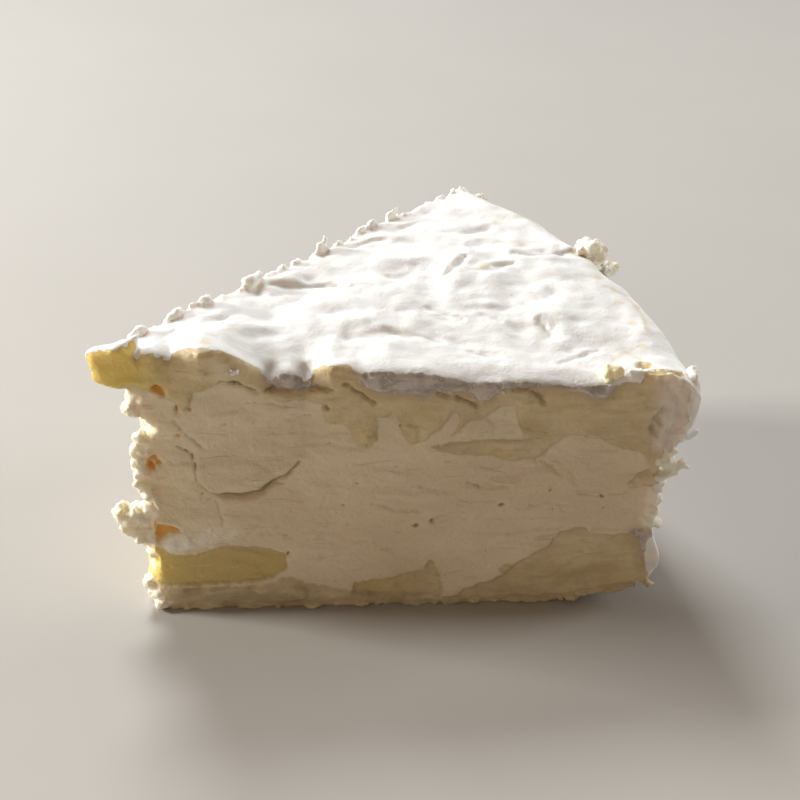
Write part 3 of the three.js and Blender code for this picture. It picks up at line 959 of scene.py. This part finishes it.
class Finish:
    """A material, and how nodes are added to it."""

    def __init__(self, name):
        self.material = bpy.data.materials.new(name)
        self.material.use_nodes = True
        self.tree = self.material.node_tree
        self.tree.nodes.clear()

    def node(self, kind, settings=None, inputs=None, out=0):
        made = self.tree.nodes.new("ShaderNode" + kind)
        for name, value in (settings or {}).items():
            setattr(made, name, value)
        for name, value in (inputs or {}).items():
            if isinstance(value, Value):
                self.tree.links.new(value.socket, made.inputs[name])
            else:
                made.inputs[name].default_value = value
        return Value(self, made.outputs[out]) if made.outputs else None

    def kept(self, name):
        return self.node("Attribute", {"attribute_name": name}, out="Fac")

    def step(self, value, low, high):
        limits = {"Value": value, "From Min": low, "From Max": high}
        return self.node("MapRange", {"interpolation_type": "SMOOTHSTEP"}, limits)

    def blend(self, under, over, share):
        under, over = [(*shade, 1.0) if isinstance(shade, tuple) else shade for shade in (under, over)]
        return self.node("Mix", {"data_type": "RGBA"}, {0: share, 6: under, 7: over}, out=2)

    def coat(self, shade, *coats):
        for over, share in coats:
            shade = self.blend(shade, over, share)
        return shade

    def place(self, size, stretch=(1, 1, 1)):
        """Object coordinates counted in sizes of millimetres, pulled along the frame's axes."""
        spot = self.node("TexCoord", out="Object")
        pull = [1 / (size * MM * s) for s in stretch]
        return self.node("VectorMath", {"operation": "MULTIPLY"}, {0: spot, 1: pull})

    def lumps(self, size, detail=2.0, rough=0.5, stretch=(1, 1, 1), bend=0.0):
        """Noise whose lumps are size millimetres across."""
        limits = {"Scale": 1.0, "Detail": detail, "Roughness": rough, "Distortion": bend}
        return self.node("TexNoise", None, {"Vector": self.place(size, stretch), **limits})

    def cells(self, size, out):
        return self.node("TexVoronoi", None, {"Vector": self.place(size), "Scale": 1.0}, out=out)


def cheese_finish(name, through):
    """The whole cheese's finish. through is how much of the light goes in under the surface."""
    finish = Finish(name)
    step, blend, coat, lumps, kept = finish.step, finish.blend, finish.coat, finish.lumps, finish.kept

    ragged = lumps(1.5, 5, 0.65) - 0.5
    broad = lumps(16, 3, 0.5, (1.6, 1.6, 1))
    middling = lumps(4.5, 4, 0.6, (1.8, 1.8, 1))
    fine = lumps(0.9, 3, 0.6)
    drags = lumps(1.1, 4, 0.6, (7, 7, 1), 0.4)
    strokes = lumps(2.0, 2, 0.5, (4, 4, 1), 0.8)

    in_rind = kept("rind") + ragged * 1.1
    in_cream = kept("cream") + ragged * 1.3
    rind = step(in_rind, -0.1, 0.1)
    cream = step(in_cream, -0.28, 0.28)
    foot = step(kept("foot") + ragged * 1.4, -0.3, 0.3)
    thin = kept("thin")
    cut = kept("cut")
    place = finish.node("TexCoord", out="Object")
    along, height_up = [finish.node("SeparateXYZ", None, {"Vector": place}, out=axis) for axis in "XZ"]

    # paste: ivory, with drier pale smears, faint pinkish ones, and thin films of cream line dragged over it
    paste = coat(
        (0.8, 0.68, 0.485),
        ((0.87, 0.755, 0.56), step(broad, 0.36, 0.64)),
        ((0.92, 0.83, 0.66), step(middling, 0.54, 0.74) * 0.5),
        ((0.8, 0.64, 0.5), step(lumps(6, 3, 0.6, (2.4, 2.4, 1)), 0.52, 0.72) * 0.4),
        ((0.68, 0.56, 0.4), step(strokes, 0.62, 0.74) * 0.5),
        ((0.58, 0.46, 0.31), step(lumps(0.55, 3, 0.6, (9, 9, 1), 1.2), 0.6, 0.72) * 0.12),
        ((0.5, 0.45, 0.37), step(lumps(1.3, 2, 0.5, (2, 2, 1)), 0.68, 0.76) * 0.4),
        ((0.66, 0.53, 0.37), step(lumps(1.0, 4, 0.7, (1.5, 1.5, 1), 0.6), 0.58, 0.7) * 0.35),
        # painted light: the curds and crumbs painted near-white, as where the lamps fall on them
        ((0.97, 0.93, 0.82), kept("curd") * 0.95),
    )

    # cream line: straw, deeper and yellower low on the left, with a painted glow of yellow light at the point
    low_left = (1 - step(height_up, 0.01, 0.02)) * (1 - step(along, -0.022, 0.0))
    straw = coat(
        (0.67, 0.53, 0.29),
        ((0.78, 0.655, 0.41), step(middling, 0.35, 0.66)),
        ((0.62, 0.49, 0.27), step(strokes, 0.58, 0.72) * 0.5),
        ((0.62, 0.5, 0.31), step(lumps(9, 4, 0.6, (1, 1, 1.4)), 0.46, 0.64) * 0.6),
        ((0.64, 0.49, 0.19), low_left * 0.88),
        (paste, step(drags, 0.56, 0.7) * 0.35),
        (paste, step(lumps(5, 4, 0.65, (2, 2, 1), 0.5), 0.48, 0.62) * 0.3 * (1 - low_left)),
        ((0.84, 0.66, 0.15), step(thin, 0.08, 0.75)),
    )

    # the whole soft inside, with holes whose amber near the point is a painted glow of light coming through
    foot_brown = blend((0.45, 0.36, 0.22), (0.68, 0.56, 0.36), step(middling, 0.36, 0.62))
    # painted shadow: a dark line along the edges of the cream line
    cream_edge_shadow = step(in_cream, -0.5, 0.0) * (1 - step(in_cream, 0.1, 0.9))
    amber = blend((0.36, 0.25, 0.13), (0.82, 0.47, 0.07), step(thin, 0.08, 0.24))
    picked = finish.node("SeparateColor", None, {"Color": finish.cells(5.5, "Color")})
    speck = step(1 - finish.cells(5.5, "Distance"), 0.945, 0.965) * step(picked, 0.62, 0.64)
    soft = coat(
        paste,
        (straw, cream),
        (foot_brown, foot * 0.9),
        # painted glow: the soft inside yellower near the point, as if lit through
        ((0.9, 0.76, 0.36), thin * 0.25),
        # painted shade: the cut darkened in a band just under the rind's lip
        ((0.5, 0.39, 0.27), step(kept("rind") + ragged, -2.6, -0.1) * cut * 0.42),
        ((0.48, 0.36, 0.2), cream_edge_shadow * cut * 0.16),
        (amber, step(kept("hole") + ragged * 0.9, 0.38, 0.8) * 0.8),
        # painted shade inside the cracks and folds
        ((0.4, 0.28, 0.17), step(kept("crack") + ragged * 0.5, 0.45, 0.95) * 0.75),
        ((0.34, 0.19, 0.1), speck * 0.75),
    )

    # rind: white down, with painted shade in the creases and beige where rubbed
    # where the knife dragged it over the cuts it is grey, partly its own grey and partly painted shade under the
    # lip
    blotches = step(lumps(2.4, 4, 0.7, (1.3, 1.3, 1), 0.8), 0.38, 0.62)
    white_flecks = step(lumps(1.8, 4, 0.6, (1, 1, 1.5), 1.6), 0.6, 0.7)
    bruised_and_shaded = coat((0.37, 0.31, 0.28), ((0.62, 0.56, 0.515), blotches), ((0.93, 0.91, 0.88), white_flecks * 0.75))
    white = coat(
        (0.86, 0.855, 0.84),
        ((0.93, 0.925, 0.91), step(middling, 0.34, 0.6)),
        ((0.8, 0.78, 0.71), step(lumps(7, 4, 0.6, (1.7, 1, 1)), 0.62, 0.76) * 0.4),
        ((0.8, 0.7, 0.53), step(kept("rub") + ragged * 1.3, 0.45, 1.0) * 0.75),
        (bruised_and_shaded, step(cut + ragged * 0.8, 0.5, 0.68) * 0.88),
        # painted shade greys the creases in the top
        ((0.7, 0.67, 0.6), step(kept("crack") + ragged * 0.4, 0.3, 0.8) * (1 - cut) * 0.6),
    )
    tan = blend((0.69, 0.55, 0.37), (0.78, 0.65, 0.47), step(middling, 0.38, 0.62))
    tan = blend(tan, (0.85, 0.77, 0.68), step(kept("roll") + ragged * 0.5, 0.1, 0.95))
    shade = coat(soft, (white, rind), (tan, kept("fold") * 0.9))

    pits = step(strokes, 0.6, 0.7)
    soft_height = middling * 0.42 + drags * 0.12 + fine * 0.3 - pits * 0.16 - speck * 0.5 + ragged * 0.3
    rind_height = lumps(2.6, 5, 0.62, (1.5, 1, 1), 0.6) * 0.3 + fine * 0.08 + lumps(0.45, 2, 0.5) * 0.06
    height = soft_height * (1 - rind) + rind_height * rind + step(in_rind, -0.3, 0.3) * 0.25
    height = height + step(in_cream, -0.4, 0.4) * 0.18 - kept("crack") * 0.5
    bump = finish.node("Bump", None, {"Strength": 0.85, "Distance": 0.0009, "Height": height})

    rough = 0.56 - cream * 0.14 + fine * 0.08
    rough = rough * (1 - rind) + rind * 0.86
    shader = finish.node(
        "BsdfPrincipled",
        {"subsurface_method": "RANDOM_WALK"},
        {
            "Base Color": shade,
            "Roughness": rough,
            "Normal": bump,
            "Subsurface Weight": through,
            "Subsurface Radius": (1.0, 0.62, 0.34),
            "Subsurface Scale": 0.003,
            "IOR": 1.42,
        },
    )
    finish.node("OutputMaterial", None, {"Surface": shader})
    return finish.material


def floor_finish():
    finish = Finish("pale_table")
    shade = finish.blend((0.43, 0.41, 0.385), (0.455, 0.435, 0.41), finish.lumps(60, 3))
    shader = finish.node("BsdfPrincipled", None, {"Base Color": shade, "Roughness": 0.8})
    finish.node("OutputMaterial", None, {"Surface": shader})
    return finish.material


# ---- The scene ----

add_camera()
add_studio()

bpy.ops.object.select_all(action="DESELECT")
bpy.ops.mesh.primitive_plane_add(size=6.0)
floor = bpy.context.object
floor.name = "table"
floor.data.materials.append(floor_finish())

cheese = make_cheese()
crumbs = make_crumbs()
for piece, name, through in ((cheese, "soft_ripened_cheese", 0.3), (crumbs, "crumbs_of_curd", 0.5)):
    piece.data.materials.clear()
    piece.data.materials.append(cheese_finish(name, through))
    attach(piece, "root")
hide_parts("cheese_wedge")
